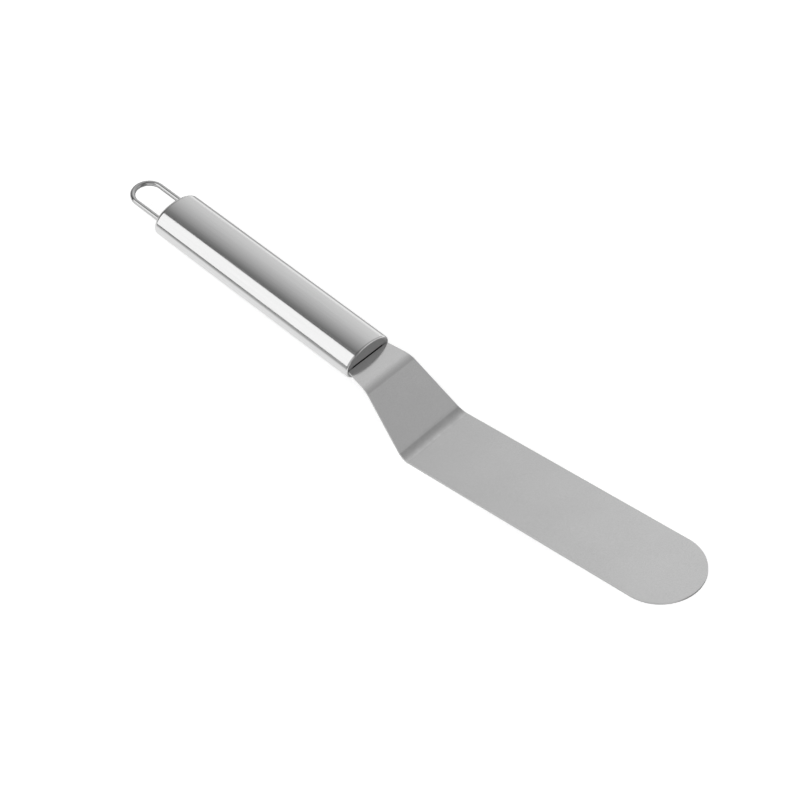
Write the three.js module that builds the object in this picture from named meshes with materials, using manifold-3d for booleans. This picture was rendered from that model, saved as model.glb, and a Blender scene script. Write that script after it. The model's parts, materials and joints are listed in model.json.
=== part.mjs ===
// Offset icing spatula: a cranked sheet-steel blade, held by its tang in a hollow oval steel handle that
// ends in a bent-wire hanging loop. Every piece is stainless steel and nothing on it moves.
//
// Millimetres, +Z up. The pieces are laid out in the handle's own frame: X runs along the handle towards
// the blade with 0 at the handle's front edge, Y across the blade, Z square to the handle's wide side.
// The finished spatula is then turned to lie the way it does on a table, on the heel of its blade and the
// back end of its handle, with the origin under the middle of its box.

import * as THREE from 'three';
import { mergeVertices } from 'three/addons/utils/BufferGeometryUtils.js';
import Module from 'manifold-3d';

const wasm = await Module();
wasm.setup();

// Oval handle tube, with its wall rolled inwards to a lip at both ends
const HANDLE_LENGTH = 114;
const HANDLE_WIDTH = 24.65;
const HANDLE_HEIGHT = 16.2;
const TUBE_WALL = 0.6;
const FRONT_LIP_INSIDE_RADIUS = 0.25;
const REAR_LIP_INSIDE_RADIUS = 1.4;

// Oval discs that close the tube: the front one nearly flush in its lip's mouth, the rear one behind its lip
const FRONT_PLATE_RECESS = 0.1;
const FRONT_PLATE_THICKNESS = 1.0;
const REAR_PLATE_THICKNESS = 1.2;

// One sheet makes the tang, the neck, the crank and the blade
const SHEET_THICKNESS = 0.9;
const TANG_LENGTH = 26;
const TANG_SHOULDER = 2.9;
const NECK_LENGTH = 11.2;
const FIRST_BEND_WIDTH = 26.4;
const FIRST_BEND_RADIUS = 8;
const CRANK_LENGTH = 30.9;
const CRANK_DROP_ANGLE = THREE.MathUtils.degToRad(34.1);
const SECOND_BEND_RADIUS = 7;
const BLADE_WIDTH = 35.4;
const BLADE_LENGTH = 131.8;
const BLADE_RISE_ANGLE = THREE.MathUtils.degToRad(10.7);

// Wire hanging loop, its two legs passing through the rear plate
const WIRE_DIAMETER = 2.3;
const LOOP_SIDE_INSET = 5.4;
const LOOP_REACH = 22.9;
const LOOP_FOOT_LENGTH = 9;

// Weld beads inside the handle
const TANG_WELD_LEG = 1.4;
const LOOP_WELD_LEG = 1.0;

// Gap left between pieces that touch on the real spatula
const SEAT_GAP = 0.25;

// Gap that shows as a dark line above the tang, and that the weld beads close from inside
const SLOT_CLEARANCE = 0.6;

// Facets
const OVAL_SIDES = 72;
const LIP_STEPS = 6;
const BEND_CURVE_SEGMENTS = 6;
const TIP_CURVE_SEGMENTS = 20;
const WIRE_SIDES = 12;
const LOOP_STEPS = 48;

const polishedSteel = new THREE.MeshStandardMaterial({ color: 0xd9d9d9, roughness: 0.12, metalness: 1 });
const satinSteel = new THREE.MeshStandardMaterial({ color: 0xb8b8b8, roughness: 0.38, metalness: 1 });
const stampedSteel = new THREE.MeshStandardMaterial({ color: 0x8c8c8c, roughness: 0.3, metalness: 1 });
const weldSteel = new THREE.MeshStandardMaterial({ color: 0x7d7a76, roughness: 0.6, metalness: 1 });

// Places along the handle that several pieces share
const frontLipRadius = TUBE_WALL + FRONT_LIP_INSIDE_RADIUS;
const rearLipRadius = TUBE_WALL + REAR_LIP_INSIDE_RADIUS;
const frontPlateInset = frontLipRadius + SEAT_GAP;
const rearPlateInset = TUBE_WALL + SEAT_GAP;
const frontPlateFace = -FRONT_PLATE_RECESS;
const frontPlateBack = frontPlateFace - FRONT_PLATE_THICKNESS;
const rearPlateFace = -HANDLE_LENGTH + rearLipRadius;
const rearPlateBack = rearPlateFace + REAR_PLATE_THICKNESS;

// The neck starts as wide as the front plate, just before it, and the tang steps in from it
const neckRootX = frontPlateFace + SEAT_GAP;
const neckRootWidth = HANDLE_WIDTH - 2 * frontPlateInset;
const tangWidth = neckRootWidth - 2 * TANG_SHOULDER;
const tangRearX = frontPlateBack - TANG_LENGTH;

const loopLegY = HANDLE_WIDTH / 2 - LOOP_SIDE_INSET;
const wireRadius = WIRE_DIAMETER / 2;
const wireHoleRadius = wireRadius + SEAT_GAP;

/** A closed three.js geometry as a solid that can be joined and cut. */
function toSolid(geometry) {
  const bare = geometry.clone();
  bare.deleteAttribute('normal');
  bare.deleteAttribute('uv');
  const merged = mergeVertices(bare, 1e-5);
  const mesh = new wasm.Mesh({
    numProp: 3,
    vertProperties: new Float32Array(merged.attributes.position.array),
    triVerts: new Uint32Array(merged.index.array),
  });
  mesh.merge();
  return new wasm.Manifold(mesh);
}

/** A cut or joined solid back as a three.js geometry. */
function toGeometry(solid) {
  const mesh = solid.getMesh();
  const geometry = new THREE.BufferGeometry();
  geometry.setAttribute('position', new THREE.BufferAttribute(mesh.vertProperties, 3));
  geometry.setIndex(new THREE.BufferAttribute(mesh.triVerts, 1));
  geometry.computeVertexNormals();
  return geometry;
}

/** A point of the handle's oval section, moved inwards by inset along the oval's normal. */
function ovalPoint(angle, inset) {
  const a = HANDLE_WIDTH / 2;
  const b = HANDLE_HEIGHT / 2;
  const normal = new THREE.Vector2(b * Math.cos(angle), a * Math.sin(angle)).normalize();
  return new THREE.Vector2(a * Math.cos(angle), b * Math.sin(angle)).addScaledVector(normal, -inset);
}

/** The angles at which the oval is faceted. */
function ovalAngles() {
  return Array.from({ length: OVAL_SIDES }, (_, i) => (i * 2 * Math.PI) / OVAL_SIDES);
}

/** Carries a closed profile of (x, inset) points round the handle's oval section. */
function sweepRoundOval(profile) {
  const positions = [];
  const indices = [];
  const angles = ovalAngles();
  const count = profile.length;
  for (const angle of angles) {
    for (const corner of profile) {
      const point = ovalPoint(angle, corner.y);
      positions.push(corner.x, point.x, point.y);
    }
  }
  for (let i = 0; i < angles.length; i += 1) {
    const next = (i + 1) % angles.length;
    for (let j = 0; j < count; j += 1) {
      const beyond = (j + 1) % count;
      const a = i * count + j;
      const b = i * count + beyond;
      const c = next * count + beyond;
      const d = next * count + j;
      indices.push(a, c, b, a, d, c);
    }
  }
  const geometry = new THREE.BufferGeometry();
  geometry.setAttribute('position', new THREE.Float32BufferAttribute(positions, 3));
  geometry.setIndex(indices);
  geometry.computeVertexNormals();
  return geometry;
}

/** Extrudes a shape drawn in the handle's section (Y, Z) along X, from its rear to its front face. */
function extrudeAlongHandle(shape, rearX, frontX) {
  const geometry = new THREE.ExtrudeGeometry(shape, { depth: frontX - rearX, bevelEnabled: false });
  const along = new THREE.Vector3(1, 0, 0);
  const across = new THREE.Vector3(0, 1, 0);
  const up = new THREE.Vector3(0, 0, 1);
  geometry.applyMatrix4(new THREE.Matrix4().makeBasis(across, up, along));
  geometry.translate(rearX, 0, 0);
  return geometry;
}

/** Extrudes a shape drawn in the handle's side view (X, Z) across Y, centred on the handle's plane. */
function extrudeAcross(shape, width, curveSegments) {
  const geometry = new THREE.ExtrudeGeometry(shape, { depth: width, bevelEnabled: false, curveSegments });
  geometry.rotateX(Math.PI / 2);
  geometry.translate(0, width / 2, 0);
  return geometry;
}

/** Points of a quarter arc in the tube's (x, inset) profile. */
function lipArc(centreX, centreInset, radius, fromAngle, toAngle) {
  const clockwise = fromAngle > toAngle;
  const arc = new THREE.EllipseCurve(centreX, centreInset, radius, radius, fromAngle, toAngle, clockwise);
  return arc.getPoints(LIP_STEPS);
}

/** The handle's tube: a thin oval wall whose two ends roll inwards. */
function makeHandleTube() {
  const frontCentre = -frontLipRadius;
  const rearCentre = -HANDLE_LENGTH + rearLipRadius;
  const half = Math.PI / 2;
  const profile = [
    ...lipArc(rearCentre, rearLipRadius, rearLipRadius, -2 * half, -half),
    ...lipArc(frontCentre, frontLipRadius, frontLipRadius, -half, 0),
    ...lipArc(frontCentre, frontLipRadius, FRONT_LIP_INSIDE_RADIUS, 0, -half),
    ...lipArc(rearCentre, rearLipRadius, REAR_LIP_INSIDE_RADIUS, -half, -2 * half),
  ];
  return sweepRoundOval(profile);
}

/** An oval disc that closes one end of the tube, with the given openings in it. */
function makeEndPlate(openings, inset, rearX, frontX) {
  const shape = new THREE.Shape(ovalAngles().map((angle) => ovalPoint(angle, inset)));
  shape.holes.push(...openings);
  return extrudeAlongHandle(shape, rearX, frontX);
}

/** The slot in the front plate that the tang passes through. */
function makeTangSlot() {
  const halfWidth = tangWidth / 2 + SEAT_GAP;
  const halfHeight = SHEET_THICKNESS / 2 + SLOT_CLEARANCE;
  const slot = new THREE.Path();
  slot.moveTo(-halfWidth, -halfHeight);
  slot.lineTo(-halfWidth, halfHeight);
  slot.lineTo(halfWidth, halfHeight);
  slot.lineTo(halfWidth, -halfHeight);
  slot.closePath();
  return slot;
}

/** The hole in the rear plate for one leg of the wire loop. */
function makeLegHole(side) {
  const hole = new THREE.Path();
  hole.absarc(side * loopLegY, 0, wireHoleRadius, 0, 2 * Math.PI, true);
  return hole;
}

/** Where a sheet that runs through a corner point turns from one heading to another. */
function bend(corner, headingIn, headingOut, insideRadius) {
  const left = Math.sign(headingOut - headingIn);
  const middleRadius = insideRadius + SHEET_THICKNESS / 2;
  const setback = middleRadius * Math.tan(Math.abs(headingOut - headingIn) / 2);
  const along = new THREE.Vector2(Math.cos(headingIn), Math.sin(headingIn));
  const towardsCentre = new THREE.Vector2(-along.y, along.x).multiplyScalar(left * middleRadius);
  return {
    centre: corner.clone().addScaledVector(along, -setback).add(towardsCentre),
    upperRadius: middleRadius - (left * SHEET_THICKNESS) / 2,
    lowerRadius: middleRadius + (left * SHEET_THICKNESS) / 2,
    startAngle: headingIn - (left * Math.PI) / 2,
    endAngle: headingOut - (left * Math.PI) / 2,
    clockwise: left < 0,
  };
}

// The middle line of the sheet in the side view: straight through the neck, down the crank, up the blade
const crankHeading = -CRANK_DROP_ANGLE;
const bladeHeading = BLADE_RISE_ANGLE;
const firstCorner = new THREE.Vector2(NECK_LENGTH, 0);
const crankRun = new THREE.Vector2(CRANK_LENGTH, 0).rotateAround(new THREE.Vector2(), crankHeading);
const secondCorner = firstCorner.clone().add(crankRun);
const bladeRun = new THREE.Vector2(BLADE_LENGTH, 0).rotateAround(new THREE.Vector2(), bladeHeading);
const bladeEnd = secondCorner.clone().add(bladeRun);
const firstBend = bend(firstCorner, 0, crankHeading, FIRST_BEND_RADIUS);
const secondBend = bend(secondCorner, crankHeading, bladeHeading, SECOND_BEND_RADIUS);

/** The sheet's section in the side view, from the end of the tang to the tip and back. */
function makeSheetProfile() {
  const halfSheet = SHEET_THICKNESS / 2;
  const upwards = new THREE.Vector2(0, halfSheet).rotateAround(new THREE.Vector2(), bladeHeading);
  const profile = new THREE.Shape();
  profile.moveTo(tangRearX, halfSheet);
  for (const { centre, upperRadius, startAngle, endAngle, clockwise } of [firstBend, secondBend]) {
    profile.absarc(centre.x, centre.y, upperRadius, startAngle, endAngle, clockwise);
  }
  profile.lineTo(bladeEnd.x + upwards.x, bladeEnd.y + upwards.y);
  profile.lineTo(bladeEnd.x - upwards.x, bladeEnd.y - upwards.y);
  for (const { centre, lowerRadius, startAngle, endAngle, clockwise } of [secondBend, firstBend]) {
    profile.absarc(centre.x, centre.y, lowerRadius, endAngle, startAngle, !clockwise);
  }
  profile.lineTo(tangRearX, -halfSheet);
  profile.closePath();
  return profile;
}

/** The sheet's outline seen from above: stepped tang, flaring neck and crank, parallel blade, round tip. */
function makeSheetOutline() {
  const tipRadius = BLADE_WIDTH / 2;
  const tipReach = tipRadius * Math.cos(bladeHeading);
  const outline = new THREE.Shape();
  outline.moveTo(tangRearX, -tangWidth / 2);
  outline.lineTo(neckRootX, -tangWidth / 2);
  outline.lineTo(neckRootX, -neckRootWidth / 2);
  outline.lineTo(firstCorner.x, -FIRST_BEND_WIDTH / 2);
  outline.lineTo(secondCorner.x, -BLADE_WIDTH / 2);
  outline.absellipse(bladeEnd.x - tipReach, 0, tipReach, tipRadius, -Math.PI / 2, Math.PI / 2, false);
  outline.lineTo(secondCorner.x, BLADE_WIDTH / 2);
  outline.lineTo(firstCorner.x, FIRST_BEND_WIDTH / 2);
  outline.lineTo(neckRootX, neckRootWidth / 2);
  outline.lineTo(neckRootX, tangWidth / 2);
  outline.lineTo(tangRearX, tangWidth / 2);
  outline.closePath();
  return outline;
}

/** The blade with its crank, neck and tang: the bent sheet, trimmed to its outline. */
function makeBlade() {
  const sheetWidth = 2 * Math.max(BLADE_WIDTH, FIRST_BEND_WIDTH, neckRootWidth);
  const sheet = toSolid(extrudeAcross(makeSheetProfile(), sheetWidth, BEND_CURVE_SEGMENTS));
  const trimHeight = 4 * (CRANK_LENGTH + BLADE_LENGTH);
  const trim = new THREE.ExtrudeGeometry(makeSheetOutline(), {
    depth: trimHeight,
    bevelEnabled: false,
    curveSegments: TIP_CURVE_SEGMENTS,
  });
  trim.translate(0, 0, -trimHeight / 2);
  return toGeometry(sheet.intersect(toSolid(trim)));
}

/** Middle line of the wire loop: up one leg, round a half circle and down the other. */
class LoopLine extends THREE.Curve {
  getPoint(t) {
    const legRear = -HANDLE_LENGTH - LOOP_REACH + loopLegY;
    const legFront = rearPlateBack + LOOP_FOOT_LENGTH;
    const leg = legFront - legRear;
    const arch = Math.PI * loopLegY;
    const run = t * (2 * leg + arch);
    if (run < leg) {
      return new THREE.Vector3(legFront - run, loopLegY, 0);
    }
    if (run > leg + arch) {
      return new THREE.Vector3(legRear + run - leg - arch, -loopLegY, 0);
    }
    const angle = (run - leg) / loopLegY;
    return new THREE.Vector3(legRear - loopLegY * Math.sin(angle), loopLegY * Math.cos(angle), 0);
  }
}

/** The wire hanging loop. */
function makeHangingLoop() {
  const section = new THREE.Shape();
  section.absarc(0, 0, wireRadius, 0, 2 * Math.PI, false);
  return new THREE.ExtrudeGeometry(section, {
    extrudePath: new LoopLine(),
    steps: LOOP_STEPS,
    curveSegments: WIRE_SIDES / 2,
    bevelEnabled: false,
  });
}

/** The weld bead between the tang and the back of the front plate, above (1) or below (-1) the tang. */
function makeTangWeld(side) {
  const cornerX = frontPlateBack - SEAT_GAP;
  const cornerZ = side * (SHEET_THICKNESS / 2 + SEAT_GAP);
  const bead = new THREE.Shape();
  bead.moveTo(cornerX, cornerZ);
  bead.lineTo(cornerX - TANG_WELD_LEG, cornerZ);
  bead.lineTo(cornerX, cornerZ + side * TANG_WELD_LEG);
  bead.closePath();
  return extrudeAcross(bead, tangWidth - 2 * TANG_WELD_LEG, 1);
}

/** The ring of weld round one leg of the loop, on the inner face of the rear plate. */
function makeLoopWeld(side) {
  const inner = wireRadius + SEAT_GAP;
  const profile = [
    new THREE.Vector2(inner, 0),
    new THREE.Vector2(inner + LOOP_WELD_LEG, 0),
    new THREE.Vector2(inner, LOOP_WELD_LEG),
    new THREE.Vector2(inner, 0),
  ];
  const ring = new THREE.LatheGeometry(profile, 2 * WIRE_SIDES);
  ring.rotateZ(-Math.PI / 2);
  ring.translate(rearPlateBack + SEAT_GAP, side * loopLegY, 0);
  return ring;
}

/** The pitch at which the heel of the blade and the back end of the handle lie on one level. */
function restingPitch() {
  const rearCorner = new THREE.Vector2(-HANDLE_LENGTH + rearLipRadius, -HANDLE_HEIGHT / 2 + rearLipRadius);
  const span = secondBend.centre.clone().sub(rearCorner);
  return Math.asin((secondBend.lowerRadius - rearLipRadius) / span.length()) - span.angle();
}

/** A named piece of the spatula. */
function piece(name, geometry, material) {
  const mesh = new THREE.Mesh(geometry, material);
  mesh.name = name;
  return mesh;
}

const frontPlate = makeEndPlate([makeTangSlot()], frontPlateInset, frontPlateBack, frontPlateFace);
const legHoles = [makeLegHole(1), makeLegHole(-1)];
const rearPlate = makeEndPlate(legHoles, rearPlateInset, rearPlateFace, rearPlateBack);
const spatula = new THREE.Group();
spatula.add(
  piece('blade', makeBlade(), satinSteel),
  piece('handle_tube', makeHandleTube(), polishedSteel),
  piece('front_end_plate', frontPlate, stampedSteel),
  piece('rear_end_plate', rearPlate, stampedSteel),
  piece('hanging_loop', makeHangingLoop(), polishedSteel),
  piece('tang_weld_upper', makeTangWeld(1), weldSteel),
  piece('tang_weld_lower', makeTangWeld(-1), weldSteel),
  piece('loop_weld_left', makeLoopWeld(1), weldSteel),
  piece('loop_weld_right', makeLoopWeld(-1), weldSteel),
);

// Lay the spatula on its heel and handle end, with the origin under the middle of its box
spatula.rotation.y = -restingPitch();
const box = new THREE.Box3().setFromObject(spatula, true);
const middle = box.getCenter(new THREE.Vector3());
spatula.position.set(-middle.x, -middle.y, -box.min.z);

export default spatula;
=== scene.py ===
"""Looks of an offset icing spatula: cranked satin blade, polished oval handle and a wire hanging loop.

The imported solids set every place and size. The pieces are modelled again here with smooth surfaces and soft
edges, in the handle's own frame: X along the handle towards the blade with 0 at the handle's front edge,
Y across the blade and Z square to the handle's wide side. Each finished piece is then laid where the solids
lie. Sizes are in millimetres and Blender works in metres.
"""

import json
import logging
import math
from dataclasses import dataclass, field
from enum import Enum
from typing import Any, Callable

import bmesh
import bpy
from mathutils import Euler, Matrix, Vector


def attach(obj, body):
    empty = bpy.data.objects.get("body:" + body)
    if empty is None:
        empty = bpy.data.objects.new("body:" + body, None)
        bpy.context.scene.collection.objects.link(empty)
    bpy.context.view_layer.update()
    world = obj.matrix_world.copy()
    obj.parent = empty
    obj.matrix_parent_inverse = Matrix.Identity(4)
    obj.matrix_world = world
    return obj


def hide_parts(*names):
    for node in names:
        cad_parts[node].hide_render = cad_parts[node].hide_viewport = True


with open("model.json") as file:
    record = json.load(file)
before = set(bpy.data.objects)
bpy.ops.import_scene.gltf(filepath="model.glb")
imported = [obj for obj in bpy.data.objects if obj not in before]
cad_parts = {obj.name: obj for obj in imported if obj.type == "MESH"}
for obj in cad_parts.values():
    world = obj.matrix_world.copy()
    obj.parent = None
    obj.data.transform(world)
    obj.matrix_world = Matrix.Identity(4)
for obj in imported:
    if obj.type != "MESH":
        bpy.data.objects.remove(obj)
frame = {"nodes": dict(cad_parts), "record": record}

LOG = logging.getLogger("icing_spatula")

MM = 0.001
BODY = "root"
PRESS_FIT_MM = 0.03
QUARTER_TURN = math.pi / 2
SMOOTH_ANGLE = math.radians(35)
MERGE_DISTANCE = 1e-7
NEAR = 1e-5
FLAT_FACE_WEIGHT = 100
WHITE = (1, 1, 1, 1)
# Nearly all values of a noise texture lie between these two
NOISE_LOW = 0.3
NOISE_HIGH = 0.7


class Slot(Enum):
    """The record's material slots of the pieces that are modelled again."""

    SHEET = "satin_steel"
    TUBE = "polished_steel"
    DISC = "stamped_steel"
    WIRE = "polished_wire"


class End(Enum):
    """The two ends of the handle, by the way each one faces along the handle."""

    FRONT = 1
    REAR = -1


def linear(hex_colour: str) -> tuple[float, float, float, float]:
    """Turns an sRGB hex colour into linear values.

    Args:
        hex_colour: Six hex digits after a hash sign.

    Returns:
        Red, green, blue and an alpha of 1.
    """
    channels = [int(hex_colour[i:i + 2], 16) / 255 for i in (1, 3, 5)]
    curve = [c / 12.92 if c <= 0.04045 else ((c + 0.055) / 1.055) ** 2.4 for c in channels]
    return (curve[0], curve[1], curve[2], 1.0)


def add_node(
    tree: bpy.types.NodeTree,
    kind: str,
    values: dict[str | int, Any] | None = None,
    links: dict[str | int, bpy.types.NodeSocket] | None = None,
    **settings: Any,
) -> bpy.types.Node:
    """Adds a node with its settings, its constant inputs and its links.

    Args:
        tree: The node tree that takes the node.
        kind: Blender's name for the node's type.
        values: Constant values by input.
        links: Output sockets by the input that they feed.
        **settings: Properties of the node itself.

    Returns:
        The new node.
    """
    node = tree.nodes.new(kind)
    for name, value in settings.items():
        setattr(node, name, value)
    for socket, value in (values or {}).items():
        node.inputs[socket].default_value = value
    for socket, source in (links or {}).items():
        tree.links.new(source, node.inputs[socket])
    return node


def begin_material(name: str) -> tuple[bpy.types.Material, bpy.types.NodeTree]:
    """Makes a material that starts from Blender's own shader.

    Args:
        name: The material's name.

    Returns:
        The material and its node tree.
    """
    material = bpy.data.materials.new(name)
    material.use_nodes = True
    return material, material.node_tree


def link_metal(
    tree: bpy.types.NodeTree,
    colour: bpy.types.NodeSocket,
    gloss: bpy.types.NodeSocket,
    relief: bpy.types.NodeSocket,
) -> None:
    """Makes a material's shader a metal and feeds it its patterns.

    Args:
        tree: The material's node tree.
        colour: What feeds the base colour.
        gloss: What feeds the roughness.
        relief: What feeds the normal.
    """
    shader = tree.nodes["Principled BSDF"]
    shader.inputs["Metallic"].default_value = 1.0
    for socket, source in (("Base Color", colour), ("Roughness", gloss), ("Normal", relief)):
        tree.links.new(source, shader.inputs[socket])


def per_mm(spacing_mm: float) -> float:
    """Gives the texture scale, in cells per metre, of a pattern that repeats every so many millimetres."""
    return 1 / (spacing_mm * MM)


@dataclass(frozen=True)
class Lay:
    """How the handle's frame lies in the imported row: nose up by a pitch, with its origin moved."""

    pitch: float
    origin: Vector

    @classmethod
    def from_record(cls, record: dict, blade_rise: float, mount_place: Vector) -> "Lay":
        """Reads the lay from the flat top of the blade, which the record gives as a mount.

        Args:
            record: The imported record.
            blade_rise: Angle from the handle's axis up to the blade.
            mount_place: The mount's place in the handle's frame, in metres.

        Returns:
            The lay of the handle's frame.
        """
        mount = next(m for m in record["mounts"] if m["name"] == "blade_top")
        normal = Vector(mount["axis"])
        pitch = math.atan2(-normal.x, normal.z) - blade_rise
        turned = Euler((0, -pitch, 0)).to_matrix() @ mount_place
        return cls(pitch, Vector(mount["pos_m"]) - turned)

    def matrix(self) -> Matrix:
        """Gives the transform from the handle's frame to the row."""
        return Matrix.Translation(self.origin) @ Euler((0, -self.pitch, 0)).to_matrix().to_4x4()

    def apply(self, piece: bpy.types.Object) -> None:
        """Lays a finished piece in the row, with its place moved into its mesh.

        Args:
            piece: The piece, in object mode.
        """
        piece.matrix_world = self.matrix()
        only(piece)
        bpy.ops.object.transform_apply(location=True, rotation=True, scale=True)


def only(piece: bpy.types.Object) -> None:
    """Selects one object and makes it the active one.

    Args:
        piece: The object.
    """
    bpy.ops.object.select_all(action="DESELECT")
    piece.select_set(True)
    bpy.context.view_layer.objects.active = piece


def begin(name: str, add: Callable[..., Any], **size: Any) -> bpy.types.Object:
    """Adds a primitive and opens it in edit mode with everything selected.

    Args:
        name: The piece's name.
        add: The operator that adds the primitive.
        **size: The primitive's size and place.

    Returns:
        The new object.
    """
    bpy.ops.object.select_all(action="DESELECT")
    add(**size)
    piece = bpy.context.object
    piece.name = name
    piece.data.name = name
    bpy.ops.object.transform_apply(location=True, rotation=True, scale=True)
    bpy.ops.object.mode_set(mode="EDIT")
    bpy.ops.mesh.select_all(action="SELECT")
    return piece


def pick(piece: bpy.types.Object, mode: str, test: Callable[[Vector], bool]) -> None:
    """Selects vertices, or the edges or faces whose corners all pass, by their place.

    Args:
        piece: The object in edit mode.
        mode: VERT, EDGE or FACE.
        test: Says whether a corner at this place is wanted.
    """
    bpy.ops.mesh.select_mode(type=mode)
    bpy.ops.mesh.select_all(action="DESELECT")
    mesh = bmesh.from_edit_mesh(piece.data)
    parts = {"VERT": mesh.verts, "EDGE": mesh.edges, "FACE": mesh.faces}[mode]
    for part in parts:
        corners = [part] if mode == "VERT" else part.verts
        part.select_set(all(test(corner.co) for corner in corners))
    mesh.select_flush_mode()
    bmesh.update_edit_mesh(piece.data)


def push(step: Vector, widen: tuple[float, float, float], centre: Vector) -> None:
    """Extrudes the selected edges by a step, then scales the new edges about a point."""
    bpy.ops.mesh.extrude_region_move(TRANSFORM_OT_translate={"value": step})
    bpy.ops.transform.resize(value=widen, center_override=centre)


def tidy_shell() -> None:
    """Merges doubles and turns all faces outwards, in edit mode."""
    bpy.ops.mesh.select_all(action="SELECT")
    bpy.ops.mesh.remove_doubles(threshold=MERGE_DISTANCE)
    bpy.ops.mesh.normals_make_consistent(inside=False)


def apply_modifier(piece: bpy.types.Object, kind: str, **settings: Any) -> None:
    """Adds a modifier and applies it.

    Args:
        piece: The object, in object mode.
        kind: Blender's name for the modifier's type.
        **settings: Properties of the modifier.
    """
    only(piece)
    modifier = piece.modifiers.new(kind.lower(), kind)
    for name, value in settings.items():
        setattr(modifier, name, value)
    bpy.ops.object.modifier_apply(modifier=modifier.name)


def soften_edges(piece: bpy.types.Object, radius: float, segments: int) -> None:
    """Rounds a piece's sharp edges with a small bevel.

    Args:
        piece: The object, in object mode.
        radius: The bevel's width, in metres.
        segments: How many strips of faces make the round.
    """
    apply_modifier(
        piece,
        "BEVEL",
        width=radius,
        segments=segments,
        limit_method="ANGLE",
        angle_limit=SMOOTH_ANGLE,
        harden_normals=False,
    )


def settle(
    piece: bpy.types.Object,
    lay: Lay,
    node: str,
    finish: bpy.types.Material | None = None,
) -> None:
    """Smooths, lays and dresses a finished piece, and puts it in the place of its solid.

    Args:
        piece: The modelled piece, in object mode.
        lay: How the handle's frame lies in the row.
        node: The solid that the piece stands for.
        finish: The piece's material, unless it is dressed already.
    """
    lay.apply(piece)
    bpy.ops.object.shade_smooth_by_angle(angle=SMOOTH_ANGLE)
    apply_modifier(piece, "WEIGHTED_NORMAL", keep_sharp=True, weight=FLAT_FACE_WEIGHT)
    if finish:
        piece.data.materials.append(finish)
    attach(piece, BODY)
    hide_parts(node)
    LOG.info("%s: %d faces, in place of %s", piece.name, len(piece.data.polygons), node)


@dataclass(frozen=True)
class PolishedTube:
    """Stainless tube, drawn and then polished bright along its length.

    To the eye it is a mirror with a slight bloom: the studio shows in long bands whose borders waver a
    little, crossed by faint streaks that the polishing belt left along the handle.
    """

    name: str = "polished stainless tube"
    colour: str = "#C6C6C6"
    streak_colour: str = "#B8B8B8"
    roughness: float = 0.06
    streak_roughness: float = 0.18
    streak_width_mm: float = 0.7
    streak_length_mm: float = 60.0
    waver_mm: float = 22.0
    waver_depth_mm: float = 0.02
    streak_depth_mm: float = 0.002

    def material(self, pitch: float) -> bpy.types.Material:
        """Makes the material.

        Args:
            pitch: The handle's pitch in the row, which the streaks follow.

        Returns:
            The material.
        """
        material, tree = begin_material(self.name)
        place = add_node(tree, "ShaderNodeTexCoord")
        along = add_node(
            tree, "ShaderNodeMapping", {"Rotation": (0, pitch, 0)}, {"Vector": place.outputs["Object"]}
        )
        # Streaks are finer than a pixel on the real tube and are drawn wide enough to show
        across = per_mm(self.streak_width_mm)
        stretch = add_node(
            tree,
            "ShaderNodeMapping",
            {"Scale": (per_mm(self.streak_length_mm), across, across)},
            {"Vector": along.outputs["Vector"]},
        )
        streaks = add_node(
            tree,
            "ShaderNodeTexNoise",
            {"Scale": 1.0, "Detail": 3.0, "Roughness": 0.6},
            {"Vector": stretch.outputs["Vector"]},
        )
        waver = add_node(
            tree,
            "ShaderNodeTexNoise",
            {"Scale": per_mm(self.waver_mm), "Detail": 1.0},
            {"Vector": along.outputs["Vector"]},
        )
        tint = add_node(
            tree,
            "ShaderNodeMix",
            {6: linear(self.streak_colour), 7: linear(self.colour)},
            {0: streaks.outputs["Fac"]},
            data_type="RGBA",
        )
        gloss = add_node(
            tree,
            "ShaderNodeMapRange",
            {
                "From Min": NOISE_LOW,
                "From Max": NOISE_HIGH,
                "To Min": self.roughness,
                "To Max": self.streak_roughness,
            },
            {"Value": streaks.outputs["Fac"]},
        )
        swell = add_node(
            tree,
            "ShaderNodeBump",
            {"Strength": 1.0, "Distance": self.waver_depth_mm * MM},
            {"Height": waver.outputs["Fac"]},
        )
        relief = add_node(
            tree,
            "ShaderNodeBump",
            {"Strength": 1.0, "Distance": self.streak_depth_mm * MM},
            {"Height": streaks.outputs["Fac"], "Normal": swell.outputs["Normal"]},
        )
        link_metal(tree, tint.outputs[2], gloss.outputs["Result"], relief.outputs["Normal"])
        return material


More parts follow.
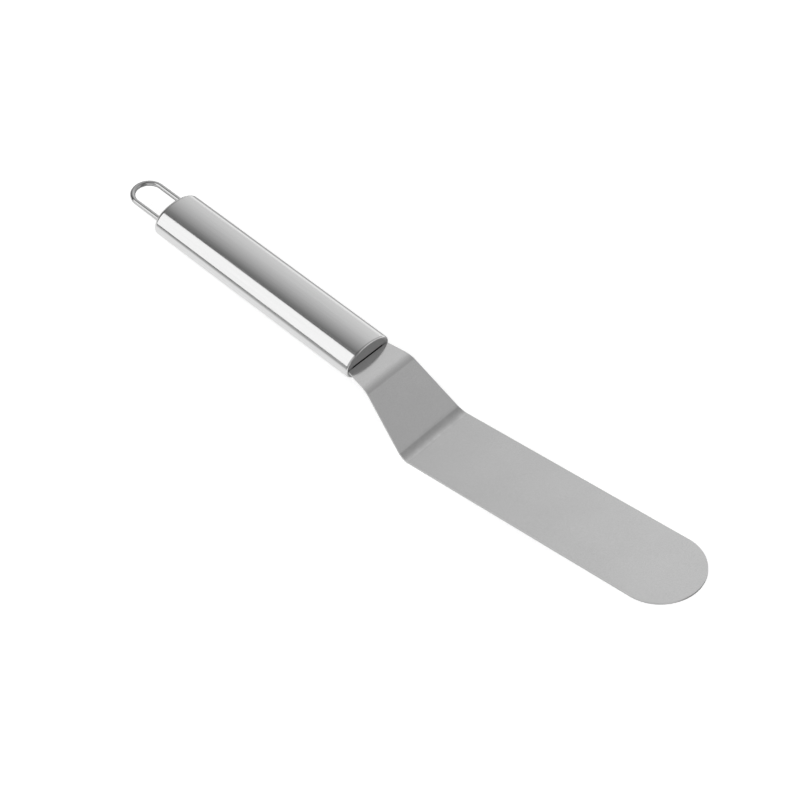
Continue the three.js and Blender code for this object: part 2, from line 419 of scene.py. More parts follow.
@dataclass(frozen=True)
class SatinSheet:
    """Cold-rolled stainless sheet, tumbled after bending.

    To the eye it is an even, soft grey with a very fine speckle, and it still mirrors what stands close to
    it, such as the plate at the root of the neck. Inside the second bend a slightly ragged band of painted
    shade darkens its colour, to tone down the bend's highlight.
    """

    name: str = "tumbled stainless sheet"
    colour: str = "#CFCFCF"
    dull_colour: str = "#C5C5C5"
    roughness: float = 0.13
    dull_roughness: float = 0.2
    grain_mm: float = 0.45
    grain_depth_mm: float = 0.002
    cloud_mm: float = 16.0
    cloud_share: float = 0.35
    dull_at: float = 0.4
    bright_at: float = 0.95
    # Painted shade inside the second bend: its width, its shift off the bend and how dark it gets
    bend_shade_width_mm: float = 3.6
    bend_shade_shift_mm: float = 0.2
    bend_shade_tone: float = 0.7
    ragged_mm: float = 2.4
    ragged_grain_mm: float = 4.0

    def bend_shade_band(
        self, tree: bpy.types.NodeTree, place: bpy.types.NodeSocket, bend_x: float
    ) -> bpy.types.NodeSocket:
        """Draws a band of painted shade across the sheet, inside the second bend.

        Args:
            tree: The material's node tree.
            place: The Object coordinates.
            bend_x: Where the second bend lies along the row, in metres.

        Returns:
            The painted shade's tone, which scales the sheet's colour.
        """
        wander = add_node(
            tree,
            "ShaderNodeTexNoise",
            {"Scale": per_mm(self.ragged_grain_mm), "Detail": 3.0},
            {"Vector": place},
        )
        middle = bend_x + (self.bend_shade_shift_mm - self.ragged_mm / 2) * MM
        ragged = add_node(
            tree,
            "ShaderNodeMath",
            {1: self.ragged_mm * MM, 2: middle},
            {0: wander.outputs["Fac"]},
            operation="MULTIPLY_ADD",
        )
        along = add_node(tree, "ShaderNodeSeparateXYZ", links={0: place})
        aside = add_node(
            tree,
            "ShaderNodeMath",
            links={0: along.outputs["X"], 1: ragged.outputs["Value"]},
            operation="SUBTRACT",
        )
        clear = add_node(tree, "ShaderNodeMath", links={0: aside.outputs["Value"]}, operation="ABSOLUTE")
        tone = add_node(
            tree,
            "ShaderNodeMapRange",
            {"From Max": self.bend_shade_width_mm * MM, "To Min": self.bend_shade_tone, "To Max": 1.0},
            {"Value": clear.outputs["Value"]},
            interpolation_type="SMOOTHSTEP",
        )
        return tone.outputs["Result"]

    def material(self, bend_x: float) -> bpy.types.Material:
        """Makes the material.

        Args:
            bend_x: Where the second bend lies along the row, in metres.

        Returns:
            The material.
        """
        material, tree = begin_material(self.name)
        place = add_node(tree, "ShaderNodeTexCoord")
        # The tumbled grain is about a tenth of this size and is drawn coarse enough to show
        grain = add_node(
            tree,
            "ShaderNodeTexNoise",
            {"Scale": per_mm(self.grain_mm), "Detail": 2.0, "Roughness": 0.7},
            {"Vector": place.outputs["Object"]},
        )
        cloud = add_node(
            tree,
            "ShaderNodeTexNoise",
            {"Scale": per_mm(self.cloud_mm), "Detail": 3.0},
            {"Vector": place.outputs["Object"]},
        )
        mixed = add_node(
            tree,
            "ShaderNodeMath",
            {1: self.cloud_share},
            {0: cloud.outputs["Fac"], 2: grain.outputs["Fac"]},
            operation="MULTIPLY_ADD",
        )
        tint = add_node(
            tree,
            "ShaderNodeMapRange",
            {
                "From Min": (self.dull_at,) * 3,
                "From Max": (self.bright_at,) * 3,
                9: linear(self.dull_colour)[:3],
                10: linear(self.colour)[:3],
            },
            {"Vector": mixed.outputs["Value"]},
            data_type="FLOAT_VECTOR",
        )
        # Painted shade: the colour is darkened in a ragged band inside the second bend
        line = self.bend_shade_band(tree, place.outputs["Object"], bend_x)
        shaded_tint = add_node(
            tree,
            "ShaderNodeVectorMath",
            links={0: tint.outputs["Vector"], "Scale": line},
            operation="SCALE",
        )
        gloss = add_node(
            tree,
            "ShaderNodeMapRange",
            {
                "From Min": self.dull_at,
                "From Max": self.bright_at,
                "To Min": self.dull_roughness,
                "To Max": self.roughness,
            },
            {"Value": mixed.outputs["Value"]},
        )
        relief = add_node(
            tree,
            "ShaderNodeBump",
            {"Strength": 1.0, "Distance": self.grain_depth_mm * MM},
            {"Height": grain.outputs["Fac"]},
        )
        link_metal(tree, shaded_tint.outputs["Vector"], gloss.outputs["Result"], relief.outputs["Normal"])
        return material


@dataclass(frozen=True)
class PlainSteel:
    """Stainless steel left as it was worked: a sheared edge, a stamped disc, a drawn wire or a weld bead.

    To the eye it is a grey metal whose tone and gloss wander a little, by an amount and at a grain that
    depend on how it was worked.
    """

    name: str
    colour: str
    dull_colour: str
    roughness: float
    dull_roughness: float
    grain_mm: float
    grain_depth_mm: float

    def material(self) -> bpy.types.Material:
        """Makes the material.

        Returns:
            The material.
        """
        material, tree = begin_material(self.name)
        place = add_node(tree, "ShaderNodeTexCoord")
        grain = add_node(
            tree,
            "ShaderNodeTexNoise",
            {"Scale": per_mm(self.grain_mm), "Detail": 3.0},
            {"Vector": place.outputs["Object"]},
        )
        tint = add_node(
            tree,
            "ShaderNodeMix",
            {6: linear(self.dull_colour), 7: linear(self.colour)},
            {0: grain.outputs["Fac"]},
            data_type="RGBA",
        )
        gloss = add_node(
            tree,
            "ShaderNodeMapRange",
            {
                "From Min": NOISE_LOW,
                "From Max": NOISE_HIGH,
                "To Min": self.dull_roughness,
                "To Max": self.roughness,
            },
            {"Value": grain.outputs["Fac"]},
        )
        relief = add_node(
            tree,
            "ShaderNodeBump",
            {"Strength": 1.0, "Distance": self.grain_depth_mm * MM},
            {"Height": grain.outputs["Fac"]},
        )
        link_metal(tree, tint.outputs[2], gloss.outputs["Result"], relief.outputs["Normal"])
        return material


# A sheared edge is rough and torn, and stays duller than the sheet
SHEARED_EDGE = PlainSteel(
    "sheared stainless edge",
    colour="#AFAFAF",
    dull_colour="#9D9D9D",
    roughness=0.3,
    dull_roughness=0.45,
    grain_mm=0.5,
    grain_depth_mm=0.006,
)
# A stamped disc isn't polished, so it mirrors the neck only as a blur
STAMPED_DISC = PlainSteel(
    "stamped stainless disc",
    colour="#BCBCBC",
    dull_colour="#ACACAC",
    roughness=0.28,
    dull_roughness=0.38,
    grain_mm=0.9,
    grain_depth_mm=0.003,
)
# A drawn wire leaves its die bright, with the die's faint marks
DRAWN_WIRE = PlainSteel(
    "drawn stainless wire",
    colour="#BBBBBB",
    dull_colour="#A7A7A7",
    roughness=0.03,
    dull_roughness=0.06,
    grain_mm=1.2,
    grain_depth_mm=0.001,
)
# A weld bead is rippled and turned a dull, warm grey by the heat
WELD_BEAD = PlainSteel(
    "stainless weld bead",
    colour="#8F8A82",
    dull_colour="#5E5B5A",
    roughness=0.45,
    dull_roughness=0.65,
    grain_mm=0.6,
    grain_depth_mm=0.05,
)


@dataclass
class HandleTube:
    """The oval tube of the handle, with its wall rolled inwards to a lip at both ends."""

    length_mm: float = 114.0
    width_mm: float = 24.65
    height_mm: float = 16.2
    wall_mm: float = 0.6
    front_lip_inside_mm: float = 0.25
    rear_lip_inside_mm: float = 1.4
    sides: int = 192
    lip_steps: int = 10

    def lip_radius(self, end: End) -> float:
        """Gives the outside radius of the lip at one end, in metres."""
        inside = self.front_lip_inside_mm if end is End.FRONT else self.rear_lip_inside_mm
        return (self.wall_mm + inside) * MM

    def half_axes(self, inset: float) -> Vector:
        """Gives half the width and half the height of the oval that lies inset from the outside."""
        return Vector((self.width_mm * MM / 2 - inset, self.height_mm * MM / 2 - inset))

    def profile(self) -> list[Vector]:
        """Draws the wall's section, along the outside to the front and back along the inside.

        Returns:
            Points of x along the handle and inset from the oval's outside, in metres.
        """
        wall = self.wall_mm * MM
        front = self.lip_radius(End.FRONT)
        rear = self.lip_radius(End.REAR)
        rear_x = rear - self.length_mm * MM
        turns = [QUARTER_TURN * i / self.lip_steps for i in range(self.lip_steps + 1)]
        points = [Vector((rear_x - rear * math.cos(t), rear - rear * math.sin(t))) for t in turns]
        points += [Vector((front * (math.sin(t) - 1), front * (1 - math.cos(t)))) for t in turns]
        inner = front - wall
        points += [Vector((inner * math.cos(t) - front, front - inner * math.sin(t))) for t in turns]
        inner = rear - wall
        points += [Vector((rear_x - inner * math.sin(t), rear - inner * math.cos(t))) for t in turns]
        return points

    def build(self) -> bpy.types.Object:
        """Pulls a ring along the wall's section by extrude and resize, and closes it on itself.

        Returns:
            The tube.
        """
        points = self.profile()
        tube = begin(
            "polished_handle_tube",
            bpy.ops.mesh.primitive_circle_add,
            vertices=self.sides,
            radius=1.0,
            rotation=(0, QUARTER_TURN, 0),
        )
        axes = self.half_axes(points[0].y)
        bpy.ops.transform.resize(value=(1, axes.x, axes.y))
        bpy.ops.transform.translate(value=(points[0].x, 0, 0))
        for before, after in zip(points, points[1:]):
            old = self.half_axes(before.y)
            new = self.half_axes(after.y)
            step = Vector((after.x - before.x, 0, 0))
            push(step, (1, new.x / old.x, new.y / old.y), Vector((after.x, 0, 0)))
        bpy.ops.mesh.select_all(action="DESELECT")
        bpy.ops.mesh.select_mode(type="EDGE")
        bpy.ops.mesh.select_non_manifold()
        bpy.ops.mesh.bridge_edge_loops()
        tidy_shell()
        bpy.ops.object.mode_set(mode="OBJECT")
        return tube


@dataclass
class SpatulaBlade:
    """The one bent sheet that makes the tang, the neck, the crank and the blade."""

    handle: HandleTube
    seat_gap_mm: float = 0.25
    slot_clearance_mm: float = 0.6
    plate_mm: float = 1.0
    plate_recess_mm: float = 0.1
    sheet_mm: float = 0.9
    tang_length_mm: float = 26.0
    tang_shoulder_mm: float = 2.9
    neck_length_mm: float = 11.2
    first_bend_width_mm: float = 26.4
    first_bend_radius_mm: float = 8.0
    crank_length_mm: float = 30.9
    crank_drop: float = math.radians(34.1)
    second_bend_radius_mm: float = 7.0
    width_mm: float = 35.4
    length_mm: float = 131.8
    rise: float = math.radians(10.7)
    mount_run_mm: float = 60.0
    edge_radius_mm: float = 0.22
    edge_steps: int = 3
    bend_steps: int = 24
    tip_steps: int = 40

    def headings(self) -> tuple[Vector, Vector]:
        """Gives which way the sheet runs after each bend.

        Returns:
            The directions of the crank and of the blade.
        """
        crank = Vector((math.cos(self.crank_drop), 0, -math.sin(self.crank_drop)))
        blade = Vector((math.cos(self.rise), 0, math.sin(self.rise)))
        return crank, blade

    def corners(self) -> tuple[Vector, Vector]:
        """Gives where the sheet's middle lines meet at the two bends.

        Returns:
            The first bend's corner and the second's, in metres.
        """
        crank, _ = self.headings()
        first = Vector((self.neck_length_mm * MM, 0, 0))
        return first, first + crank * self.crank_length_mm * MM

    def mount_point(self) -> Vector:
        """Gives the place of the mount on the blade's top, which the record has too.

        Returns:
            The mount's place in the handle's frame, in metres.
        """
        _, blade = self.headings()
        _, heel = self.corners()
        upwards = Vector((-blade.z, 0, blade.x))
        return heel + blade * self.mount_run_mm * MM + upwards * self.sheet_mm * MM / 2

    def plate_face(self) -> float:
        """Gives where the front plate's outer face stands along the handle, in metres."""
        return -self.plate_recess_mm * MM

    def root_width(self) -> float:
        """Gives the neck's width where it leaves the front plate, in metres."""
        return 2 * self.handle.half_axes(self.handle.lip_radius(End.FRONT) + self.seat_gap_mm * MM).x

    def tang_width(self) -> float:
        """Gives the tang's width, in metres."""
        return self.root_width() - 2 * self.tang_shoulder_mm * MM

    def draw_strip(self) -> bpy.types.Object:
        """Draws the sheet's middle as a flat strip with two sharp bends and a round tip.

        Returns:
            The strip, in edit mode.
        """
        first, heel = self.corners()
        crank, along = self.headings()
        root_x = self.plate_face() + self.seat_gap_mm * MM
        root = self.root_width()
        neck = first.x - root_x
        # The grid's two inner lines become the sides of the tang
        lanes = 3
        strip = begin(
            "satin_blade",
            bpy.ops.mesh.primitive_grid_add,
            x_subdivisions=1,
            y_subdivisions=lanes,
            size=1.0,
        )
        bpy.ops.transform.resize(value=(neck, root, 1))
        bpy.ops.transform.translate(value=(root_x + neck / 2, 0, 0))
        pick(strip, "VERT", lambda co: abs(co.y) < root / lanes)
        tang = self.tang_width()
        bpy.ops.transform.resize(value=(1, lanes * tang / root, 1), center_override=(0, 0, 0))
        pick(strip, "EDGE", lambda co: co.x < root_x + NEAR and abs(co.y) < tang / 2 + NEAR)
        tang_end = self.plate_face() - (self.plate_mm + self.tang_length_mm) * MM
        bpy.ops.mesh.extrude_region_move(TRANSFORM_OT_translate={"value": (tang_end - root_x, 0, 0)})
        pick(strip, "EDGE", lambda co: co.x > first.x - NEAR)
        bend_width = self.first_bend_width_mm * MM
        bpy.ops.transform.resize(value=(1, bend_width / root, 1), center_override=first)
        widen = self.width_mm * MM / bend_width
        push(crank * self.crank_length_mm * MM, (1, widen, 1), heel)
        radius = self.width_mm * MM / 2
        tip_centre = heel + along * (self.length_mm * MM - radius)
        push(tip_centre - heel, (1, 1, 1), tip_centre)
        angles = [QUARTER_TURN * i / self.tip_steps for i in range(self.tip_steps)]
        for before, after in zip(angles, angles[1:]):
            step = along * radius * (math.sin(after) - math.sin(before))
            centre = tip_centre + along * radius * math.sin(after)
            push(step, (1, math.cos(after) / math.cos(before), 1), centre)
        last = along * radius * (1 - math.sin(angles[-1]))
        bpy.ops.mesh.extrude_region_move(TRANSFORM_OT_translate={"value": last})
        bpy.ops.mesh.merge(type="CENTER")
        return strip

    def round_bend(self, strip: bpy.types.Object, corner: Vector, turn: float, radius_mm: float) -> None:
        """Rounds one of the strip's two bends.

        Args:
            strip: The strip in edit mode.
            corner: Where the bend's edge lies.
            turn: The angle that the sheet turns by.
            radius_mm: The bend's inside radius.
        """
        pick(strip, "EDGE", lambda co: abs(co.x - corner.x) < NEAR and abs(co.z - corner.z) < NEAR)
        setback = (radius_mm + self.sheet_mm / 2) * MM * math.tan(turn / 2)
        bpy.ops.mesh.bevel(
            offset_type="OFFSET", offset=setback, segments=self.bend_steps, profile=0.5, affect="EDGES"
        )

    def build(self, finishes: list[bpy.types.Material]) -> bpy.types.Object:
        """Bends the strip, gives it its thickness and rounds its edges.

        Args:
            finishes: The finish of the sheet's two sides, then that of its cut edge.

        Returns:
            The blade, dressed.
        """
        first, heel = self.corners()
        strip = self.draw_strip()
        for finish in finishes:
            strip.data.materials.append(finish)
        self.round_bend(strip, first, self.crank_drop, self.first_bend_radius_mm)
        self.round_bend(strip, heel, self.crank_drop + self.rise, self.second_bend_radius_mm)
        tidy_shell()
        bpy.ops.object.mode_set(mode="OBJECT")
        apply_modifier(
            strip,
            "SOLIDIFY",
            thickness=self.sheet_mm * MM,
            offset=0.0,
            use_even_offset=True,
            material_offset_rim=1,
        )
        soften_edges(strip, self.edge_radius_mm * MM, self.edge_steps)
        return strip


@dataclass
class HangingLoop:
    """The bent wire at the back of the handle."""

    handle: HandleTube
    wire_mm: float = 2.3
    side_inset_mm: float = 5.4
    reach_mm: float = 22.9
    foot_mm: float = 9.0
    plate_mm: float = 1.2
    end_radius_mm: float = 0.2
    end_steps: int = 3
    sides: int = 40
    arch_steps: int = 64

    def leg_y(self) -> float:
        """Gives how far each leg stands from the middle plane, in metres."""
        return (self.handle.width_mm / 2 - self.side_inset_mm) * MM

    def build(self) -> bpy.types.Object:
        """Draws the wire: extrudes one leg, spins the arch and extrudes the other leg.

        Returns:
            The loop.
        """
        leg_y = self.leg_y()
        rear_face = -self.handle.length_mm * MM
        foot_x = rear_face + self.handle.lip_radius(End.REAR) + (self.plate_mm + self.foot_mm) * MM
        arch_x = rear_face - self.reach_mm * MM + leg_y
        wire = begin(
            "bent_wire_loop",
            bpy.ops.mesh.primitive_circle_add,
            vertices=self.sides,
            radius=self.wire_mm * MM / 2,
            location=(foot_x, leg_y, 0),
            rotation=(0, QUARTER_TURN, 0),
        )
        leg = arch_x - foot_x
        bpy.ops.mesh.extrude_region_move(TRANSFORM_OT_translate={"value": (leg, 0, 0)})
        bpy.ops.mesh.spin(steps=self.arch_steps, angle=-math.pi, center=(arch_x, 0, 0), axis=(0, 0, 1))
        bpy.ops.mesh.extrude_region_move(TRANSFORM_OT_translate={"value": (-leg, 0, 0)})
        bpy.ops.mesh.select_all(action="SELECT")
        bpy.ops.mesh.remove_doubles(threshold=MERGE_DISTANCE)
        bpy.ops.mesh.select_all(action="SELECT")
        bpy.ops.mesh.fill_holes(sides=0)
        tidy_shell()
        bpy.ops.object.mode_set(mode="OBJECT")
        soften_edges(wire, self.end_radius_mm * MM, self.end_steps)
        return wire


@dataclass
class EndPlate:
    """An oval disc that closes one end of the tube, with its openings cut through."""

    handle: HandleTube
    end: End
    thickness_mm: float
    face_x: float
    inset: float
    edge_radius_mm: float = 0.12
    edge_steps: int = 2
    sides: int = 160
    hole_sides: int = 48
    cutter_share: float = 4.0
    cutters: list[bpy.types.Object] = field(default_factory=list)

    def cutter_depth(self) -> float:
        """Gives the length of a cutter, which reaches well past both faces of the disc, in metres."""
        return self.cutter_share * self.thickness_mm * MM

    def add_slot(self, width: float, height: float) -> None:
        """Adds the cutter of a slot through the middle of the disc.

        Args:
            width: The slot's size across the handle's wide side, in metres.
            height: The slot's size across its narrow side, in metres.
        """
        slot = begin("slot_cutter", bpy.ops.mesh.primitive_cube_add, size=1.0)
        bpy.ops.transform.resize(value=(self.cutter_depth(), width, height))
        bpy.ops.transform.translate(value=(self.face_x, 0, 0))
        bpy.ops.object.mode_set(mode="OBJECT")
        self.cutters.append(slot)

    def add_hole(self, y: float, radius: float) -> None:
        """Adds the cutter of a round hole.

        Args:
            y: How far the hole stands off the middle plane, in metres.
            radius: The hole's radius, in metres.
        """
        hole = begin(
            "hole_cutter",
            bpy.ops.mesh.primitive_cylinder_add,
            vertices=self.hole_sides,
            radius=radius,
            depth=self.cutter_depth(),
            location=(self.face_x, y, 0),
            rotation=(0, QUARTER_TURN, 0),
        )
        bpy.ops.object.mode_set(mode="OBJECT")
        self.cutters.append(hole)

    def build(self) -> bpy.types.Object:
        """Makes the disc by extrusion, cuts its openings and rounds its edges.

        Returns:
            The disc.
        """
        axes = self.handle.half_axes(self.inset)
        disc = begin(
            f"{self.end.name.lower()}_disc",
            bpy.ops.mesh.primitive_circle_add,
            vertices=self.sides,
            radius=1.0,
            fill_type="NGON",
            rotation=(0, QUARTER_TURN, 0),
        )
        bpy.ops.transform.resize(value=(1, axes.x, axes.y))
        bpy.ops.transform.translate(value=(self.face_x, 0, 0))
        inwards = -self.end.value * self.thickness_mm * MM
        bpy.ops.mesh.extrude_region_move(TRANSFORM_OT_translate={"value": (inwards, 0, 0)})
        tidy_shell()
        bpy.ops.object.mode_set(mode="OBJECT")
        for cutter in self.cutters:
            apply_modifier(disc, "BOOLEAN", operation="DIFFERENCE", object=cutter, solver="EXACT")
            bpy.data.objects.remove(cutter, do_unlink=True)
        soften_edges(disc, self.edge_radius_mm * MM, self.edge_steps)
        return disc


@dataclass(frozen=True)
class SoftBox:
    """A soft box in front of the spatula, which leans from overhead down to a little above the table.

    The handle mirrors the bright one: its upper edge draws the sharp line along the tube, and the gap under
    it draws the dark one.
    """

    name: str
    left_m: float
    right_m: float
    level: float
    top_y_m: float = -0.55
    top_z_m: float = 1.6
    bottom_y_m: float = -1.8
    bottom_z_m: float = 0.19

    def build(self) -> None:
        """Hangs the lamp, which the camera itself doesn't see."""
        middle = (self.left_m + self.right_m) / 2
        top = Vector((middle, self.top_y_m, self.top_z_m))
        bottom = Vector((middle, self.bottom_y_m, self.bottom_z_m))
        light = bpy.data.lights.new(self.name, "AREA")
        light.shape = "RECTANGLE"
        light.size = self.right_m - self.left_m
        light.size_y = (top - bottom).length
        light.energy = self.level * math.pi * light.size * light.size_y
        lamp = bpy.data.objects.new(self.name, light)
        along = Vector((1, 0, 0))
        up = (top - bottom).normalized()
        lamp.matrix_world = Matrix((along, up, along.cross(up))).transposed().to_4x4()
        lamp.location = (top + bottom) / 2
        lamp.visible_camera = False
        bpy.context.scene.collection.objects.link(lamp)


BRIGHT_BOX = SoftBox("bright_soft_box", left_m=-1.95, right_m=-0.45, level=1.5)
DIM_BOX = SoftBox("dim_soft_box", left_m=-0.45, right_m=2.4, level=0.525)


@dataclass
class Studio:
    """A white table, a sky that is brighter behind the spatula, two soft boxes and the camera."""

    table_m: float = 60.0
    table_colour: str = "#F2F2F2"
    # What the table gains for the camera, up to white between these distances
    table_lift: float = 0.55
    table_white_m: tuple[float, float] = (0.5, 3.0)
    # What it gains in mirrors: nothing in a strip behind the spatula, which is painted shadow, then a rise,
    # and a fall to the front, which leaves painted shade far in front
    mirror_lift: float = 0.81
    mirror_painted_shadow_m: float = 0.03
    mirror_rise_m: tuple[float, float] = (0.03, 0.045)
    mirror_fall_m: tuple[float, float] = (-0.04, -0.09)
    sky_towards: Vector = field(default_factory=lambda: Vector((-0.148, 0.98, 0.19)).normalized())
    # The sky's level by its angle to that direction, as a cosine
    sky_dark: float = 0.225
    sky_bright: float = 1.155
    sky_dark_at: float = 0.07
    # The sky's gap and its two ends, by the X of a direction
    sky_gap_at: float = 0.3
    sky_gap_left: float = 0.66
    sky_gap_right: float = 0.16
    sky_gap_level: float = 0.64
    sky_right_level: float = 0.86
    sky_left_from: float = -0.8
    sky_left_to: float = -0.57
    sky_left_level: float = 0.72
    sky_end_from: float = 0.66
    sky_end_to: float = 0.85
    sky_end_gain: float = 2.2
    # The camera, fitted to the outlines in the photograph
    camera_aim_mm: Vector = field(default_factory=lambda: Vector((7.354, -2.917, 9.802)))
    camera_azimuth: float = math.radians(36.632)
    camera_elevation: float = math.radians(52.315)
    camera_roll: float = math.radians(8.421)
    camera_distance_mm: float = 782.92
    camera_lens_mm: float = 88.318
    camera_sensor_mm: float = 36.0

    def seen_lift(self, tree: bpy.types.NodeTree, place: bpy.types.NodeSocket) -> bpy.types.NodeSocket:
        """Works out what the table gains for the camera, which is more where the lamps don't reach.

        Args:
            tree: The table's node tree.
            place: The Object coordinates.

        Returns:
            The gain.
        """
        distance = add_node(tree, "ShaderNodeVectorMath", links={0: place}, operation="LENGTH")
        white_from, white_to = self.table_white_m
        gain = add_node(
            tree,
            "ShaderNodeMapRange",
            {"From Min": white_from, "From Max": white_to, "To Min": self.table_lift, "To Max": 1.0},
            {"Value": distance.outputs["Value"]},
        )
        return gain.outputs["Result"]

    def mirrored_lift(self, tree: bpy.types.NodeTree, place: bpy.types.NodeSocket) -> bpy.types.NodeSocket:
        """Works out what the table gains in mirrors.

        It gains nothing in a strip behind the spatula and far in front of it: painted shadow and painted
        shade, which mirrors show as dark lines on the tube and on the blade's tip.

        Args:
            tree: The table's node tree.
            place: The Object coordinates.

        Returns:
            The gain.
        """
        # Painted shadow in mirrors: the lift is left off in a strip behind the spatula and fades out far in
        # front
        across = add_node(tree, "ShaderNodeSeparateXYZ", links={0: place})
        aside = add_node(
            tree,
            "ShaderNodeMath",
            {1: self.mirror_painted_shadow_m},
            {0: across.outputs["Y"]},
            operation="SUBTRACT",
        )
        clear = add_node(tree, "ShaderNodeMath", links={0: aside.outputs["Value"]}, operation="ABSOLUTE")
        rise_from, rise_to = self.mirror_rise_m
        rise = add_node(
            tree,
            "ShaderNodeMapRange",
            {"From Min": rise_from, "From Max": rise_to, "To Min": 0.0, "To Max": self.mirror_lift},
            {"Value": clear.outputs["Value"]},
        )
        fall_from, fall_to = self.mirror_fall_m
        fall = add_node(
            tree,
            "ShaderNodeMapRange",
            {"From Min": fall_from, "From Max": fall_to, "To Min": 1.0, "To Max": 0.0},
            {"Value": across.outputs["Y"]},
        )
        gain = add_node(
            tree,
            "ShaderNodeMath",
            links={0: rise.outputs["Result"], 1: fall.outputs["Result"]},
            operation="MULTIPLY",
        )
        return gain.outputs["Value"]

    def build_table(self) -> None:
        """Lays the white table, which the camera and mirrors see lifted, with the shadows kept."""
        bpy.ops.object.select_all(action="DESELECT")
        bpy.ops.mesh.primitive_plane_add(size=self.table_m)
        table = bpy.context.object
        table.name = "white_table"
        material, tree = begin_material("white laminate table")
        shader = tree.nodes["Principled BSDF"]
        shader.inputs["Base Color"].default_value = linear(self.table_colour)
        shader.inputs["Roughness"].default_value = 1.0
        shader.inputs["Specular IOR Level"].default_value = 0.0
        shader.inputs["Emission Color"].default_value = WHITE
        place = add_node(tree, "ShaderNodeTexCoord").outputs["Object"]
        path = add_node(tree, "ShaderNodeLightPath")
        mirrored = add_node(
            tree,
            "ShaderNodeMath",
            links={0: path.outputs["Is Glossy Ray"], 1: path.outputs["Is Transmission Ray"]},
            operation="MAXIMUM",
        )
        in_mirror = add_node(
            tree,
            "ShaderNodeMath",
            links={0: mirrored.outputs["Value"], 1: self.mirrored_lift(tree, place)},
            operation="MULTIPLY",
        )
        lift = add_node(
            tree,
            "ShaderNodeMath",
            links={
                0: path.outputs["Is Camera Ray"],
                1: self.seen_lift(tree, place),
                2: in_mirror.outputs["Value"],
            },
            operation="MULTIPLY_ADD",
        )
        tree.links.new(lift.outputs["Value"], shader.inputs["Emission Strength"])
        table.data.materials.append(material)

    def build_sky(self) -> None:
        """Makes the soft sky: brightest in one direction, with a darker gap and a brighter right end."""
        world = bpy.data.worlds.new("soft studio")
        bpy.context.scene.world = world
        world.use_nodes = True
        tree = world.node_tree
        background = tree.nodes["Background"]
        place = add_node(tree, "ShaderNodeTexCoord")
        towards = add_node(
            tree,
            "ShaderNodeVectorMath",
            {1: self.sky_towards},
            {0: place.outputs["Generated"]},
            operation="DOT_PRODUCT",
        )
        level = add_node(
            tree,
            "ShaderNodeMapRange",
            {
                "From Min": self.sky_dark_at,
                "From Max": 1.0,
                "To Min": self.sky_dark,
                "To Max": self.sky_bright,
            },
            {"Value": towards.outputs["Value"]},
        )
        sideways = add_node(tree, "ShaderNodeSeparateXYZ", links={0: place.outputs["Generated"]})
        gap_from = self.sky_gap_at - self.sky_gap_left
        gap_to = self.sky_gap_at + self.sky_gap_right
        slopes = (
            (gap_from, self.sky_gap_at, 1.0, self.sky_gap_level),
            (self.sky_gap_at, gap_to, self.sky_gap_level, self.sky_right_level),
            (self.sky_left_from, self.sky_left_to, self.sky_left_level, 1.0),
            (self.sky_end_from, self.sky_end_to, 1.0, self.sky_end_gain),
        )
        left_half, right_half, left_end, right_end = (
            add_node(
                tree,
                "ShaderNodeMapRange",
                {"From Min": start, "From Max": end, "To Min": before, "To Max": after},
                {"Value": sideways.outputs["X"]},
                interpolation_type="SMOOTHSTEP",
            ).outputs["Result"]
            for start, end, before, after in slopes
        )
        gap = add_node(tree, "ShaderNodeMath", links={0: left_half, 1: right_half}, operation="MAXIMUM")
        ends = add_node(tree, "ShaderNodeMath", links={0: left_end, 1: right_end}, operation="MULTIPLY")
        panels = add_node(
            tree,
            "ShaderNodeMath",
            links={0: ends.outputs["Value"], 1: gap.outputs["Value"]},
            operation="MULTIPLY",
        )
        sky = add_node(
            tree,
            "ShaderNodeMath",
            links={0: level.outputs["Result"], 1: panels.outputs["Value"]},
            operation="MULTIPLY",
        )
        path = add_node(tree, "ShaderNodeLightPath")
        strength = add_node(
            tree,
            "ShaderNodeMath",
            links={0: sky.outputs["Value"], 1: path.outputs["Is Camera Ray"]},
            operation="MAXIMUM",
        )
        background.inputs["Color"].default_value = WHITE
        tree.links.new(strength.outputs["Value"], background.inputs["Strength"])

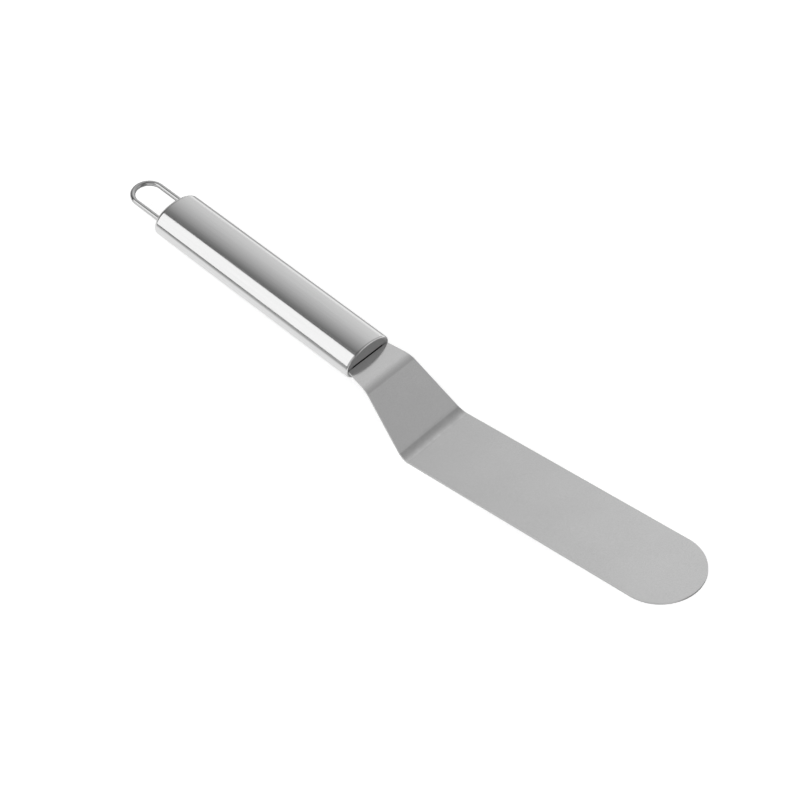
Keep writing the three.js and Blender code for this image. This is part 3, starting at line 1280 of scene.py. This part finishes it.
    def build_camera(self) -> None:
        """Stands the camera where the photograph was taken from."""
        azimuth, elevation = self.camera_azimuth, self.camera_elevation
        back = Vector((
            math.sin(azimuth) * math.cos(elevation),
            -math.cos(azimuth) * math.cos(elevation),
            math.sin(elevation),
        ))
        level_right = Vector((math.cos(azimuth), math.sin(azimuth), 0))
        right = Matrix.Rotation(self.camera_roll, 3, back) @ level_right
        turned = Matrix((right, back.cross(right), back)).transposed()
        data = bpy.data.cameras.new("camera")
        data.sensor_width = self.camera_sensor_mm
        data.lens = self.camera_lens_mm
        camera = bpy.data.objects.new("camera", data)
        camera.matrix_world = turned.to_4x4()
        camera.location = (self.camera_aim_mm + back * self.camera_distance_mm) * MM
        bpy.context.scene.collection.objects.link(camera)
        bpy.context.scene.camera = camera

    def build(self) -> None:
        """Builds the whole studio."""
        bpy.context.scene.view_settings.view_transform = "Standard"
        self.build_camera()
        self.build_table()
        self.build_sky()
        for box in (BRIGHT_BOX, DIM_BOX):
            box.build()


def dress_welds() -> None:
    """Gives the weld beads inside the handle their finish."""
    bead = WELD_BEAD.material()
    for name, node in frame["nodes"].items():
        if "weld" in name:
            node.data.materials.clear()
            node.data.materials.append(bead)
            LOG.info("%s: solid kept, dressed as a weld bead", name)


def main() -> None:
    """Builds the spatula piece by piece, then the studio."""
    logging.basicConfig(level=logging.INFO, format="%(name)s: %(message)s")
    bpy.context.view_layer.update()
    handle = HandleTube()
    blade = SpatulaBlade(handle)
    lay = Lay.from_record(frame["record"], blade.rise, blade.mount_point())
    settle(handle.build(), lay, "handle_tube", PolishedTube().material(lay.pitch))
    _, heel = blade.corners()
    bend_x = (lay.matrix() @ heel).x
    sheet = blade.build([SatinSheet().material(bend_x), SHEARED_EDGE.material()])
    settle(sheet, lay, "blade")
    loop = HangingLoop(handle)
    settle(loop.build(), lay, "hanging_loop", DRAWN_WIRE.material())
    disc_finish = STAMPED_DISC.material()
    gap = blade.seat_gap_mm * MM
    mouth = handle.lip_radius(End.FRONT) + PRESS_FIT_MM * MM
    front = EndPlate(handle, End.FRONT, blade.plate_mm, blade.plate_face(), mouth)
    slot_height = (blade.sheet_mm + 2 * blade.slot_clearance_mm) * MM
    front.add_slot(blade.tang_width() + 2 * gap, slot_height)
    settle(front.build(), lay, "front_end_plate", disc_finish)
    behind_lip = handle.lip_radius(End.REAR) - handle.length_mm * MM
    rear = EndPlate(handle, End.REAR, loop.plate_mm, behind_lip, handle.wall_mm * MM + gap)
    for side in (1, -1):
        rear.add_hole(side * loop.leg_y(), loop.wire_mm * MM / 2 + gap)
    settle(rear.build(), lay, "rear_end_plate", disc_finish)
    dress_welds()
    Studio().build()


if __name__ == "__main__":
    main()
